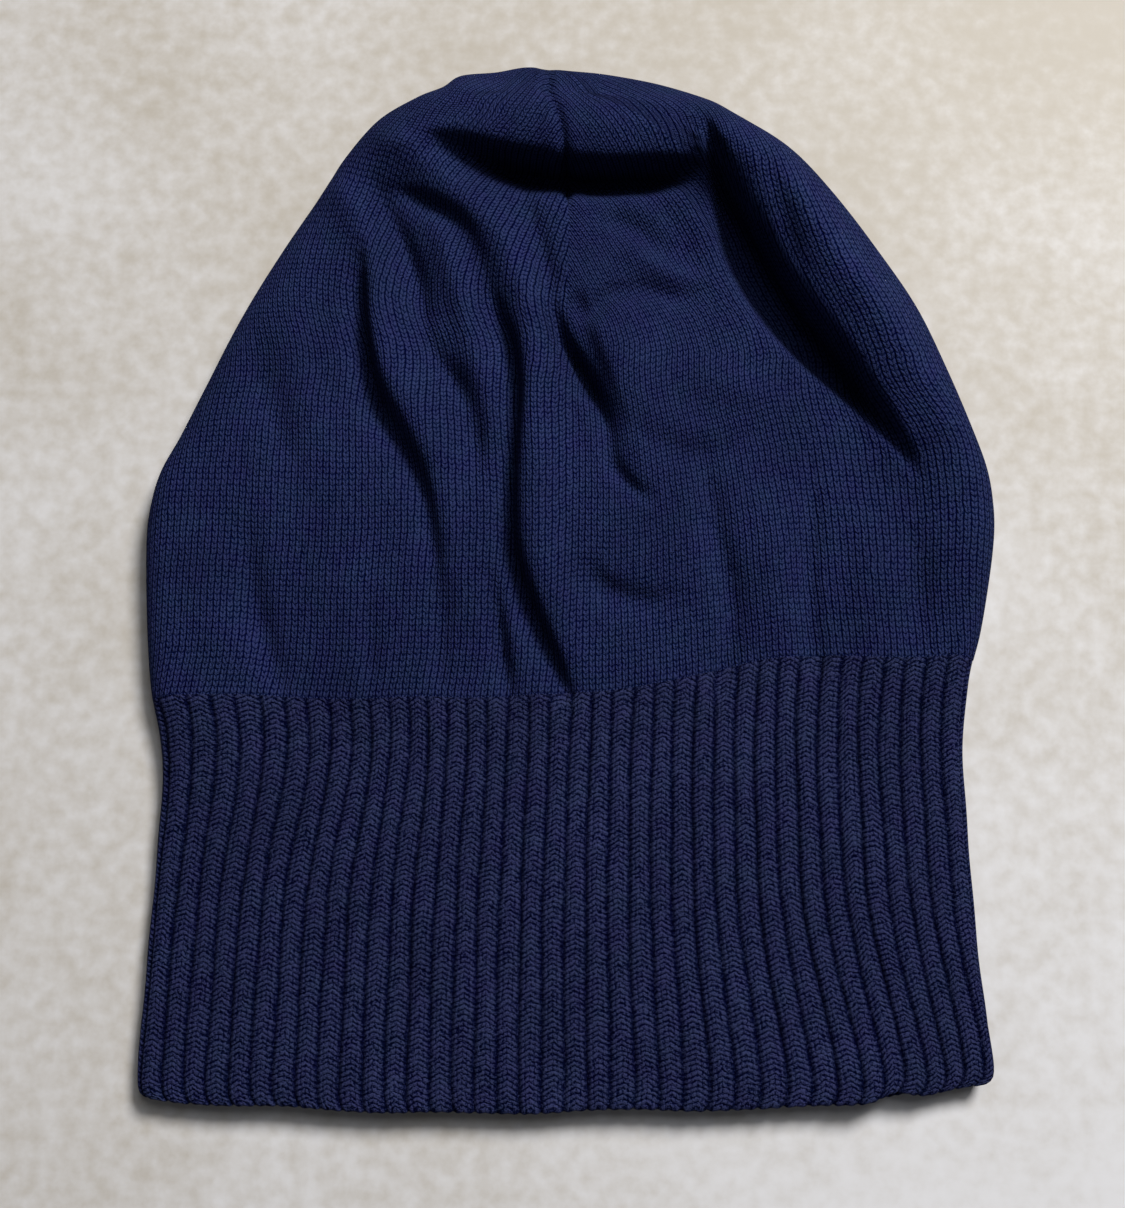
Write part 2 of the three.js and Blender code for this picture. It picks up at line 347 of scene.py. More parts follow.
def place_on_loop(around, left, right, middle, closing):
    """The plan of the cap at places round the loop, and how each place bends to the side folds.

    Places from -1 to 1 are the front, from the left fold to the right one, and the back lies
    beyond. Closing turns the front's middle over the top edge towards the apex."""
    front = np.abs(around) <= 1
    share = np.where(front, around, np.sign(around) * (2 - np.abs(around)))
    reach = np.abs(share)
    flat = np.clip(reach / FLAT, 0, 1)
    turned = np.clip((reach - FLAT) / (1 - FLAT), 0, 1)
    bend = (1 - (1 - turned) * (1 - closing)) * math.pi / 2
    edge = np.where((share < 0)[..., None], left, right)
    radius = edge[..., 2]
    inset = edge[..., :2] - edge[..., 3:5] * radius[..., None]
    away = edge[..., 3:5] * flat[..., None] + np.array([0, 1.0]) * (1 - flat)[..., None]
    away = away / np.linalg.norm(away, axis=-1, keepdims=True)
    x = middle[..., 0] * (1 - flat) + inset[..., 0] * flat
    y = inset[..., 1] + (middle[..., 1] - inset[..., 1]) * (1 - flat ** 2)
    over = radius * np.sin(bend)
    return x + away[..., 0] * over, y + away[..., 1] * over, flat, bend, radius, front, share


def surface(around, rows, is_band, fold_share=1.0):
    """The outer face over a grid: rows of edges against places round the loop."""
    left, right, middle, closing, up = rows
    a, _ = np.meshgrid(around, np.arange(len(left)))
    x, y, flat, bend, radius, front, share = place_on_loop(
        a, left[:, None, :], right[:, None, :], middle[:, None, :], closing[:, None])
    facing = np.where(front, 1.0, 0.0)
    if is_band:
        y = y + hem_line(x, facing * (1 - flat ** 4)) * (1 - up[:, None]) ** 3
        y = y + (rib_top(x) - RIB_BASE_Y) * up[:, None]
    else:
        y = y + (rib_top(x) - RIB_BASE_Y) * (1 - up[:, None])
    x = x + rib_lean(share, y) * np.where(front, 1, 0.3) * np.cos(bend)
    rise, move_x, move_y = (part * fold_share for part in folded(x, y))
    inland = smoothstep(1 - flat, 0, 0.24)
    uneven = 0.55 * ripple(x, y, 34, 1.3) + 0.3 * ripple(x, y, 13, 4.1)
    gap = 1.6 * np.exp(-((x - 84) / 8) ** 2) * (1 - smoothstep(y, -150, -128))
    top = 2 * radius * (1 - inland) + inner_height(x, y) * inland
    top = top + rise + uneven * (0.35 + 0.65 * smoothstep(y, -70, -10)) + gap
    top = CLEARANCE + np.logaddexp(0, (top - CLEARANCE) / CLEARANCE_BLEND) * CLEARANCE_BLEND
    turn = np.cos(bend)
    z_front = radius + (top - radius) * turn
    z_back = radius - radius * turn
    face = facing * turn
    z = np.where(front, z_front, z_back)
    return np.stack([x + move_x * face, y + move_y * face, z], -1)


def normals_of(grid):
    """Unit normals that point out of the cap, with the last row's taken over where it closes."""
    n = np.cross(np.gradient(grid, axis=1), np.gradient(grid, axis=0))
    size = np.linalg.norm(n, axis=-1, keepdims=True)
    n = n / np.maximum(size, 1e-9)
    closed = size[-1, :, 0] < 1e-3
    n[-1, closed] = n[-2, closed]
    return n


def lengths_across(grid):
    step = np.linalg.norm(np.diff(grid, axis=1), axis=-1)
    return np.concatenate([np.zeros((len(grid), 1)), np.cumsum(step, 1)], 1)


def lengths_along(grid):
    step = np.linalg.norm(np.diff(grid, axis=0), axis=-1)
    return np.concatenate([np.zeros((1, grid.shape[1])), np.cumsum(step, 0)], 0)


# ---------------------------------------------------------------- rows of the cap
def centre_at(y):
    return np.interp(y, centre[:, 1], centre[:, 0])


def band_rows(count):
    """Rows from the hem to the top of the rib."""
    up = np.linspace(0, 1, count)
    edges = [edge.read(up * edge.at_height(np.array([RIB_BASE_Y]))[0, 5])
             for edge in (left_edge, right_edge)]
    for edge in edges:
        edge[:, 4] *= smoothstep(up, 0, 0.25)
        edge[:, 3] = np.sign(edge[:, 3]) * np.sqrt(1 - edge[:, 4] ** 2)
    low = HEM_Y + HEM_RADIUS + 0.3
    y = low + up * (RIB_BASE_Y - low)
    middle = np.stack([centre_at(y), y], 1)
    return [*(e[:, :5] for e in edges), middle, np.zeros(count), up]


def crown_rows(body_count, section_count):
    """Rows from the rib to the foot of the darts, and on to the apex."""
    y = np.linspace(RIB_BASE_Y, DART_BASE_Y, body_count)
    body = [left_edge.at_height(y)[:, :5], right_edge.at_height(y)[:, :5],
            np.stack([centre_at(y), y], 1), np.zeros(body_count)]
    share = np.linspace(0, 1, section_count + 1)[1:]
    share = 1 - (1 - share) ** 1.12
    step = np.hypot(*np.diff(centre[:, :2], axis=0).T)
    length = np.concatenate([[0], np.cumsum(step)])
    foot = np.interp(DART_BASE_Y, centre[:, 1], length)
    spot = foot + np.clip(share / FRONT_CLOSE, 0, 1) * (length[-1] - foot)
    middle = np.stack([np.interp(spot, length, c) for c in centre[:, :2].T], 1)
    closing = np.clip((share - FRONT_CLOSE) / (1 - FRONT_CLOSE), 0, 1)
    sections = [left_edge.above_darts(share)[:, :5], right_edge.above_darts(share)[:, :5],
                middle, closing]
    rows = [np.concatenate([b, p]) for b, p in zip(body, sections)]
    up = np.clip((rows[2][:, 1] - RIB_BASE_Y) / 46.0, 0, 1)
    return [*rows, smoothstep(up, 0, 1)]


# ---------------------------------------------------------------- meshes
RIM_STEPS = 5


def link(name, mesh):
    piece = bpy.data.objects.new(name, mesh)
    bpy.context.scene.collection.objects.link(piece)
    return piece


def quads(index):
    return np.stack([index[:-1, :-1], index[:-1, 1:], index[1:, 1:], index[1:, :-1]],
                    -1).reshape(-1, 4)


def rolled_edge(outer, inner):
    """Rows that round the edge between the first rows of the two faces."""
    middle = (outer[0] + inner[0]) / 2
    half = (outer[0] - inner[0]) / 2
    away = outer[0] - outer[1]
    away = away / np.linalg.norm(away, axis=-1, keepdims=True)
    reach = np.linalg.norm(half, axis=-1, keepdims=True)
    turns = np.linspace(math.pi, 0, RIM_STEPS + 1)[1:-1]
    return np.array([middle + half * math.cos(t) + away * reach * math.sin(t) for t in turns])


def closed_piece(name, outer, inner, knit, rolled=False):
    """A closed piece of cloth from its outer and inner faces, with knit coordinates in the UV map
    Knit and an even layout in OFBake. The mesh is one sheet that runs down the inner face, round
    the first edge and up the outer face, and is then closed along its other edges."""
    rows, cols = outer.shape[:2]
    rim = rolled_edge(outer, inner) if rolled else np.zeros((0, cols, 3))
    sheet = np.concatenate([inner[::-1], rim, outer])
    index = np.arange(len(sheet) * cols).reshape(len(sheet), cols)
    far = quads(np.stack([index[-1], index[0]]))
    half = len(sheet) // 2
    first = quads(np.stack([index[:half, 0], index[::-1][:half, 0]]))[:, ::-1]
    last = quads(np.stack([index[:half, -1], index[::-1][:half, -1]]))
    faces = np.concatenate([quads(index), far, first, last])
    mesh = bpy.data.meshes.new(name)
    mesh.from_pydata((sheet.reshape(-1, 3) * MM).tolist(), [], faces.tolist())
    mesh.update()
    loops = np.zeros(len(mesh.loops), np.int32)
    mesh.loops.foreach_get("vertex_index", loops)
    on_rim = [np.repeat(k[:1], len(rim), 0) for k in knit]
    knit = [np.concatenate([k[::-1], r, k]).ravel() for k, r in zip(knit, on_rim)]
    knit_map = mesh.uv_layers.new(name="Knit")
    knit_map.data.foreach_set("uv", np.stack(knit, 1)[loops].astype(np.float32).ravel())
    bake_map = mesh.uv_layers.new(name="OFBake")
    bake_map.data.foreach_set("uv", bake_layout(len(sheet), rows, cols, loops).ravel())
    mesh.uv_layers.active = knit_map
    weld(mesh)
    return link(name, mesh)


def bake_layout(height, rows, cols, loops):
    """Bake coordinates: the sheet in one tall block, its outer face larger than its inner one."""
    level = np.concatenate([np.linspace(0, 0.24, height - rows, endpoint=False),
                            np.linspace(0.25, 0.95, rows)])
    x, y = np.meshgrid(np.linspace(0.002, 0.998, cols), level)
    place = np.stack([x.ravel(), y.ravel()], 1)
    bake = place[loops].astype(np.float32)
    main = (height - 1) * (cols - 1) * 4
    rest = np.arange(main, len(loops))
    corner = rest % 4
    slot = (rest - main) // 4
    total = max(int(slot.max()) + 1, 1) if len(rest) else 1
    bake[rest, 0] = 0.002 + 0.996 * (slot + (corner % 3 > 0) * 0.8) / total
    bake[rest, 1] = np.where(corner > 1, 0.995, 0.965)
    return bake


def weld(mesh):
    work = bmesh.new()
    work.from_mesh(mesh)
    bmesh.ops.remove_doubles(work, verts=work.verts, dist=0.000001)
    bmesh.ops.recalc_face_normals(work, faces=work.faces)
    work.to_mesh(mesh)
    work.free()
    mesh.shade_smooth()
    mesh.set_sharp_from_angle(angle=math.radians(70))
    mesh.update()


# ---------------------------------------------------------------- band
def rib_profile(phase):
    """The rib's section: a broad rounded top and a narrow valley at whole numbers."""
    t = np.abs(phase - np.round(phase)) * 2
    crown = 0.9 + 0.1 * np.cos((t - 1) * math.pi / 2)
    return smoothstep(t, 0.0, 0.38) * crown


# Where the columns of the mesh lie on each rib, closer together at its valley.
RIB_SPACES = np.array([0, 0.06, 0.13, 0.23, 0.5, 0.77, 0.87, 0.94])
BAND_ROWS = 82

# The ribs are laid out along one of these rows, near the band's middle.
LAYOUT_ROWS = 128
LAYOUT_ROW = 60
LAYOUT_STEPS = 1600

# The share of their depth that the ribs keep where the jersey starts.
RIB_FADE = 0.35


def rib_layout():
    """Places round the loop against rib numbers, even along a row through the band's middle."""
    coarse = np.linspace(-2 + SEAM_TRIM, 2 - SEAM_TRIM, LAYOUT_STEPS + 1)
    rows = [r[LAYOUT_ROW:LAYOUT_ROW + 2] for r in band_rows(LAYOUT_ROWS)]
    x, y, _, bend, radius, front, _ = place_on_loop(
        np.stack([coarse, coarse]), rows[0][:, None, :], rows[1][:, None, :],
        rows[2][:, None, :], rows[3][:, None])
    z = radius + np.where(front, 1, -1) * radius * np.cos(bend)
    length = lengths_across(np.stack([x, y, z], -1))[0]
    return coarse, length / length[-1] * RIB_COUNT


def rib_relief(phase, strength):
    return (rib_profile(phase) - 1) * RIB_RELIEF * strength


def make_band(coarse, ribs):
    """The hem and the band, with their inner face and normals for the seam inside."""
    steps = np.concatenate([RIB_SPACES + k for k in range(RIB_COUNT)] + [[RIB_COUNT]])
    around = np.interp(steps, ribs, coarse)
    rows = band_rows(BAND_ROWS)
    grid = surface(around, rows, True)
    normal = normals_of(grid)
    height = lengths_along(grid)
    up = rows[4][:, None]
    phase = steps[None, :] + np.zeros_like(height)
    fade = 1 - (1 - RIB_FADE) * smoothstep(up, 0.955, 1.0)
    strength = fade * (0.86 + 0.14 * np.sin(np.floor(steps) * 2.39 + 0.6))[None, :]
    deep = 1 + 0.3 * np.exp(-((grid[..., 0] - 62) / 24) ** 2) * (1 - smoothstep(up, 0.5, 0.9))
    relief = rib_relief(phase, strength * deep)
    swell = 0.3 * np.sin(height / 4.6 + np.floor(steps) * 1.9) * rib_profile(phase)
    sideways = np.gradient(grid, axis=1)
    sideways /= np.linalg.norm(sideways, axis=-1, keepdims=True)
    wander = 0.16 * np.sin(height / 8.5 + np.floor(steps + 0.5) * 2.1)
    outer = grid + normal * (relief + 0.35 * swell)[..., None] + sideways * wander[..., None]
    outer[..., 2] = np.maximum(outer[..., 2], 0)
    reverse = rib_profile(phase + 0.5) * REVERSE_RELIEF
    inner = grid - normal * (RIB_WALL + reverse)[..., None]
    knit = np.stack([phase, height / RIB_COURSE])
    welt = int(np.searchsorted(rows[2][:, 1], HEM_Y + WELT)) + 1
    hem = closed_piece("hem_edge", outer[:welt], inner[:welt], knit[:, :welt], True)
    band = closed_piece("ribbed_band", outer[welt - 1:], inner[welt - 1:], knit[:, welt - 1:])
    return hem, band, inner, normal


# ---------------------------------------------------------------- crown
BODY_ROWS = 84
SECTION_ROWS = 124
FRONT_STEPS = 104
BACK_STEPS = 48


def side_steps(count):
    """Places from a seam at 0 to the side fold at 1, closer together at both ends."""
    t = np.linspace(0, 1, count + 1)
    return t - 0.18 * np.sin(2 * math.pi * t) / (2 * math.pi)


def dart_groove(grid, around):
    """How deep the front dart draws in the cloth beside it."""
    across = lengths_across(grid)
    middle = int(np.argmin(np.abs(around)))
    distance = np.abs(across - across[:, middle:middle + 1])
    y = grid[:, middle, 1]
    row = np.arange(len(grid))
    level = (smoothstep(y, 92, 116) * (1 - smoothstep(row, len(grid) - 16, len(grid) - 4)))[:, None]
    return level * (1.3 * np.exp(-((distance / 1.3) ** 2))
                    - 0.4 * np.exp(-(((distance - 3.6) / 2.6) ** 2)))


def section_wales(run, keep):
    """Wale numbers over a section. They keep their spacing as it narrows, so its seams cut them
    off: each row slides by a share of what the section has lost in width. The share goes from
    the first number of keep at the foot to the second one higher up."""
    rise = smoothstep(np.linspace(0, 1, len(run) - 1), 0.05, 0.6)
    share = keep[0] + (keep[1] - keep[0]) * rise
    lost = np.diff(run[:, 0]) + share * np.diff(run[:, -1] - run[:, 0])
    slide = np.concatenate([[0], np.cumsum(lost)])
    return (run - slide[:, None]) / WALE


def knit_drift(around, y):
    """How the wales lean on the front, and how the courses tilt beside the darts."""
    right, left = np.clip(around, 0, 1)[None, :], np.clip(-around, 0, 1)[None, :]
    lean = 10.0 * smoothstep(y, -45, 60) * (1 - smoothstep(y, 70, 145))
    lean = lean * np.sin(math.pi * right) ** 1.4
    lean = lean + 6.0 * smoothstep(y, 8, 78) * (1 - smoothstep(y, 82, 140)) * np.sin(math.pi * left)
    tilt = 6.0 * smoothstep(y, 0, 90) + 8.0 * smoothstep(y, 85, 130)
    tilt = tilt * np.cos(math.pi * (np.abs(around) % 1.0))[None, :]
    side = np.where((np.abs(around) > 1)[None, :], -1, 1)
    return lean / WALE, tilt * side / COURSE


def eased(values, rows):
    """Values smoothed up each column."""
    steps = np.arange(-2 * rows, 2 * rows + 1)
    weight = np.exp(-(steps / rows) ** 2)
    padded = np.pad(values, ((2 * rows, 2 * rows), (0, 0)), mode="edge")
    return sum(w * padded[k:k + len(values)] for k, w in enumerate(weight / weight.sum()))


def wale_run(around, rows):
    """Distance across the cloth from the middle of the front. The folds take up part of it, and
    that part changes gently from row to row, as the wales of a real knit do."""
    flat = lengths_across(surface(around, rows, False, 0))
    run = flat + eased(lengths_across(surface(around, rows, False, IRONED)) - flat, EASE_ROWS)
    middle = int(np.argmin(np.abs(around)))
    return run - run[:, middle:middle + 1]


def course_numbers(grid):
    """Course numbers up each column. The columns slant where they close in on the apex."""
    step = np.diff(lengths_along(grid), axis=0)
    crowded = 1 + 0.3 * smoothstep(grid[1:, :, 1], 116, 138)
    numbers = np.cumsum(step * crowded / COURSE, axis=0)
    return np.concatenate([np.zeros((1, grid.shape[1])), numbers])


def make_crown(coarse, ribs):
    """The crown's body and four sections, with their inner face, normals and places round."""
    front = side_steps(FRONT_STEPS)
    back = side_steps(BACK_STEPS)
    half = np.concatenate([front, 2 - back[::-1][1:]])
    half[-1] -= SEAM_TRIM
    around = np.concatenate([-half[::-1], half[1:]])
    rows = crown_rows(BODY_ROWS, SECTION_ROWS)
    grid = surface(around, rows, False)
    normal = normals_of(grid)
    phase = np.interp(around, coarse, ribs)[None, :]
    above_rib = lengths_along(grid)
    fading = RIB_FADE * (1 - smoothstep(above_rib, 0, 7.0))
    dip = dart_groove(grid, around) - rib_relief(phase, fading)
    grid = grid - normal * dip[..., None]
    grid[..., 2] = np.maximum(grid[..., 2], 0)
    normal = normals_of(grid)
    thin = 1 - 0.9 * smoothstep(np.arange(len(grid)), len(grid) - 7, len(grid) - 2)
    inner = grid - normal * (JERSEY_WALL * thin)[:, None, None]
    run = wale_run(around, rows)
    marks = [int(np.argmin(np.abs(around - m))) for m in (-2, -1, 0, 1, 2)]
    wale_lean, course_tilt = knit_drift(around, grid[..., 1])
    height = course_numbers(grid) + course_tilt
    body = slice(0, BODY_ROWS)
    wales = (run / WALE + wale_lean)[body]
    pieces = [closed_piece("crown_jersey", grid[body], inner[body], (wales, height[body]))]
    above = slice(BODY_ROWS - 1, None)
    sections = (("back_left_section", (0.5, 0.5)), ("front_left_section", (0.95, 0.52)),
                ("front_right_section", (0.9, 0.4)), ("back_right_section", (0.5, 0.5)))
    for k, (name, keep) in enumerate(sections):
        cols = slice(marks[k], marks[k + 1] + 1)
        wales = section_wales(run[above, cols], keep) + wale_lean[above, cols]
        pieces.append(closed_piece(name, grid[above, cols], inner[above, cols],
                                   (wales, height[above, cols])))
    return pieces, inner, normal, around


# ---------------------------------------------------------------- seams
# The allowance: half its width, its least thickness, its gap to the wall, the columns of its mesh
# on each side of the seam, the step between its rows and the pitch of its stitches.
SEAM_HALF = 3.6
SEAM_THICK = 0.5
SEAM_GAP = 0.15
SEAM_COLUMNS = 5
SEAM_STEP = 0.42
STITCH = 1.7

# Rows above the darts' foot at which the seams end, the columns on each side of the back seam
# that its allowance is laid on, and how far from the apex the tack sits.
FRONT_SEAM_ROWS = 104
SIDE_SEAM_ROWS = 100
CROWN_SPREAD = 12
BAND_SPREAD = 16
TACK_DEPTH = 6.5


def beside_seam(face, length, column, offsets, rows):
    """A face's values at offsets to both sides of a column of its mesh, at rows up the column."""
    number = np.arange(len(face))
    across = np.array([[np.interp(length[r, column] + offsets, length[r], face[r, :, k])
                        for k in range(3)] for r in number])
    return np.array([[np.interp(rows, number, across[:, k, c]) for k in range(3)]
                     for c in range(len(offsets))]).transpose(2, 0, 1)


def seam_strip(name, inner, normal, column, first, last):
    """An overlocked allowance against the inner face: two cut edges bound with looped thread."""
    grid = inner[first:last]
    length = lengths_across(grid)
    offsets = np.linspace(-SEAM_HALF, SEAM_HALF, 2 * SEAM_COLUMNS + 1)
    line = lengths_along(grid)[:, column]
    fine = np.arange(0, line[-1], SEAM_STEP)
    rows = np.interp(fine, line, np.arange(len(grid)))
    base = beside_seam(grid, length, column, offsets, rows)
    push = beside_seam(-normal[first:last], length, column, offsets, rows)
    along, across = np.meshgrid(fine, offsets / SEAM_HALF, indexing="ij")
    edge = 1 - np.abs(across) ** 4
    loops = 0.5 + 0.5 * np.cos(2 * math.pi * (along / STITCH + 0.5 * np.abs(across)))
    bulk = SEAM_THICK + 0.75 * edge + 0.28 * loops * edge
    low = base + push * SEAM_GAP
    high = base + push * (SEAM_GAP + bulk)[..., None]
    knit = (offsets[None, :] / STITCH + 0 * along, along / STITCH)
    return closed_piece(name, high[:, ::-1], low[:, ::-1], knit)


def back_strip(name, inner, normal, spread, last):
    """The back seam's allowance, on the columns from both sides of the seam laid side by side."""
    faces = [np.concatenate([face[:, -spread - 1:-1], face[:, 1:spread + 1]], 1)
             for face in (inner, normal)]
    return seam_strip(name, *faces, spread, 1, last)


def tack_knot(name, place):
    """The stitches that draw the four sections together: a small knot of thread."""
    turns = np.linspace(0, 2 * math.pi, 181)
    ring = 1 + 0.45 * np.cos(7 * turns)
    path = np.stack([1.55 * ring * np.cos(3 * turns), 0.75 * ring * np.sin(3 * turns),
                     0.55 * np.sin(7 * turns)], 1) + np.asarray(place)
    curve = bpy.data.curves.new(name, "CURVE")
    curve.dimensions = "3D"
    curve.bevel_depth = 0.26 * MM
    curve.bevel_resolution = 3
    spline = curve.splines.new("POLY")
    spline.points.add(len(path) - 2)
    for point, spot in zip(spline.points, path[:-1] * MM):
        point.co = (*spot, 1)
    spline.use_cyclic_u = True
    rope = bpy.data.objects.new(name + "_rope", curve)
    bpy.context.scene.collection.objects.link(rope)
    mesh = bpy.data.meshes.new_from_object(rope)
    bpy.data.objects.remove(rope)
    mesh.shade_smooth()
    return link(name, mesh)


# ---------------------------------------------------------------- materials
def node(tree, kind, **settings):
    made = tree.nodes.new(kind)
    for key, value in settings.items():
        setattr(made, key, value)
    return made


class Maths:
    """Short names for chains of maths nodes."""

    def __init__(self, tree):
        self.tree = tree

    def plug(self, value, socket):
        if isinstance(value, (int, float)):
            socket.default_value = value
        else:
            self.tree.links.new(value, socket)

    def op(self, kind, *values):
        made = node(self.tree, "ShaderNodeMath", operation=kind)
        for value, socket in zip(values, made.inputs):
            self.plug(value, socket)
        return made.outputs[0]

    def add(self, a, b):
        return self.op("ADD", a, b)

    def sub(self, a, b):
        return self.op("SUBTRACT", a, b)

    def mul(self, a, b):
        return self.op("MULTIPLY", a, b)

    def power(self, a, b):
        return self.op("POWER", a, b)

    def frac(self, a):
        return self.op("FRACT", a)

    def floor(self, a):
        return self.op("FLOOR", a)

    def abs(self, a):
        return self.op("ABSOLUTE", a)

    def ramp(self, a, low, high):
        made = node(self.tree, "ShaderNodeMapRange", interpolation_type="SMOOTHSTEP")
        self.plug(a, made.inputs[0])
        made.inputs[1].default_value = low
        made.inputs[2].default_value = high
        return made.outputs[0]

    def noise(self, place, scale, detail=2.0):
        made = node(self.tree, "ShaderNodeTexNoise")
        made.inputs["Scale"].default_value = scale
        made.inputs["Detail"].default_value = detail
        self.tree.links.new(place, made.inputs["Vector"])
        return self.sub(made.outputs[0], 0.5)

    def cell(self, a, b):
        """A value from 0 to 1 that is the same all over one stitch."""
        join = node(self.tree, "ShaderNodeCombineXYZ")
        self.plug(a, join.inputs[0])
        self.plug(b, join.inputs[1])
        made = node(self.tree, "ShaderNodeTexWhiteNoise", noise_dimensions="2D")
        self.tree.links.new(join.outputs[0], made.inputs["Vector"])
        return made.outputs[0]


def new_material(name):
    material = bpy.data.materials.new(name)
    material.use_nodes = True
    material.node_tree.nodes.clear()
    return material, material.node_tree, Maths(material.node_tree)


def finish_wool(tree, m, place, shaded_tone, relief, colours, bump):
    """Shade wool from a tone for its colour, which carries painted shade in the gaps of the stitches,
    and a relief for its surface.
    """
    colour = node(tree, "ShaderNodeValToRGB")
    stops = colour.color_ramp.elements
    stops[0].position, stops[0].color = 0.16, (*colours[0], 1)
    stops[1].position, stops[1].color = 0.94, (*colours[2], 1)
    stops.new(0.52).color = (*colours[1], 1)
    tree.links.new(shaded_tone, colour.inputs[0])
    patch = m.add(1.0, m.mul(m.noise(place, 45.0, 3.0), 0.6))
    shade = node(tree, "ShaderNodeMix", data_type="RGBA", blend_type="MULTIPLY")
    shade.inputs[0].default_value = 1.0
    tree.links.new(colour.outputs[0], shade.inputs[6])
    tree.links.new(patch, shade.inputs[7])
    hue = node(tree, "ShaderNodeHueSaturation")
    tree.links.new(m.add(0.5, m.mul(m.noise(place, 130.0, 2.0), 0.035)), hue.inputs["Hue"])
    tree.links.new(shade.outputs[2], hue.inputs["Color"])
    height = node(tree, "ShaderNodeBump")
    height.inputs["Strength"].default_value = bump
    height.inputs["Distance"].default_value = 0.0006
    tree.links.new(relief, height.inputs["Height"])
    shader = node(tree, "ShaderNodeBsdfPrincipled")
    tree.links.new(hue.outputs[0], shader.inputs["Base Color"])
    tree.links.new(height.outputs[0], shader.inputs["Normal"])
    tree.links.new(m.add(0.9, m.mul(m.noise(place, 900.0), 0.12)), shader.inputs["Roughness"])
    shader.inputs["Specular IOR Level"].default_value = 0.015
    shader.inputs["Sheen Weight"].default_value = 0.012
    shader.inputs["Sheen Roughness"].default_value = 0.4
    shader.inputs["Sheen Tint"].default_value = (0.35, 0.45, 1.0, 1)
    output = node(tree, "ShaderNodeOutputMaterial")
    tree.links.new(shader.outputs[0], output.inputs[0])


def knit_coordinates(tree, m, drift_u, drift_v):
    """Wale and course numbers with the wander of a real knit, and the place on the cap."""
    uv = node(tree, "ShaderNodeUVMap", uv_map="Knit")
    split = node(tree, "ShaderNodeSeparateXYZ")
    tree.links.new(uv.outputs[0], split.inputs[0])
    place = node(tree, "ShaderNodeTexCoord").outputs["Object"]
    rough = m.noise(place, 800.0, 1.0)
    u = m.add(split.outputs[0], m.add(m.mul(m.noise(place, 240.0), drift_u), m.mul(rough, 0.14)))
    v = m.add(split.outputs[1], m.add(m.mul(m.noise(place, 170.0), drift_v), m.mul(rough, 0.3)))
    return u, v, place


def fibres(m, place):
    """The haze of loose fibres over the stitches."""
    return m.add(m.mul(m.noise(place, 1300.0), 0.6), m.mul(m.noise(place, 3000.0), 1.5))


def jersey_material(name, colours, bump):
    """Plain jersey: each wale is a column of V-shaped stitches, drawn as two rows of leaning
    strands with a dark line down the middle and a darker gap between wales. The darkness is
    painted shade: the stitches' relief also sets the tone, darker in every gap between strands."""
    material, tree, m = new_material(name)
    u, v, place = knit_coordinates(tree, m, 0.4, 0.55)
    across = m.abs(m.sub(m.mul(m.frac(u), 2.0), 1.0))
    leg = m.sub(1.0, m.power(m.abs(m.sub(m.mul(across, 2.0), 1.0)), 2.2))
    gap = m.ramp(across, 1.0, 0.66)
    wale = m.mul(m.add(0.5, m.mul(leg, 0.5)), m.add(0.24, m.mul(gap, 0.76)))
    lifted = m.sub(v, m.mul(across, 0.5))
    phase = m.frac(lifted)
    strand = m.sub(1.0, m.power(m.abs(m.sub(m.mul(phase, 2.0), 1.0)), 2.0))
    loft = m.mul(wale, m.add(0.4, m.mul(strand, 0.6)))
    fibre = fibres(m, place)
    spot = m.sub(m.cell(m.floor(m.mul(u, 2.0)), m.floor(lifted)), 0.5)
    # Painted shade: the tone follows the stitches' relief, so the gaps between strands and wales are
    # darker.
    shaded_tone = m.add(m.sub(m.mul(loft, 1.44), 0.13), m.add(m.mul(fibre, 1.1), m.mul(spot, 0.3)))
    relief = m.add(loft, m.mul(fibre, 0.6))
    finish_wool(tree, m, place, shaded_tone, relief, colours, bump)
    return material


def rib_material(name, colours, bump):
    """Two by two rib: each rib is two wales whose stitches meet in arches, between valleys. The tone
    carries painted shade, darker in the gaps between strands and towards the valleys.
    """
    material, tree, m = new_material(name)
    u, v, place = knit_coordinates(tree, m, 0.12, 0.8)
    v = m.add(v, m.mul(m.cell(m.floor(u), 0.0), 5.0))
    across = m.mul(m.abs(m.sub(m.frac(u), 0.5)), 2.0)
    body = m.sub(1.0, m.ramp(across, 0.6, 0.98))
    lifted = m.add(v, m.mul(across, 1.15))
    phase = m.frac(lifted)
    strand = m.sub(1.0, m.power(m.abs(m.sub(m.mul(phase, 2.0), 1.0)), 2.0))
    crease = m.ramp(m.abs(m.sub(across, 0.42)), 0.0, 0.16)
    middle = m.ramp(across, 0.0, 0.12)
    columns = m.mul(m.add(0.7, m.mul(crease, 0.3)), m.add(0.75, m.mul(middle, 0.25)))
    stitches = m.mul(m.add(0.32, m.mul(strand, 0.68)), columns)
    loft = m.mul(stitches, m.add(0.62, m.mul(body, 0.38)))
    fibre = fibres(m, place)
    spot = m.sub(m.cell(m.floor(m.mul(u, 4.0)), m.floor(lifted)), 0.5)
    # Painted shade: the tone follows the stitches' relief, darker in the gaps between strands.
    shaded_tone = m.add(m.sub(m.mul(loft, 1.18), 0.08), m.add(m.mul(fibre, 1.8), m.mul(spot, 0.28)))
    # Painted shade: the tone is darker towards the rib's valleys.
    shaded_tone = m.mul(shaded_tone, m.add(0.76, m.mul(body, 0.24)))
    relief = m.add(loft, m.mul(fibre, 0.6))
    finish_wool(tree, m, place, shaded_tone, relief, colours, bump)
    return material


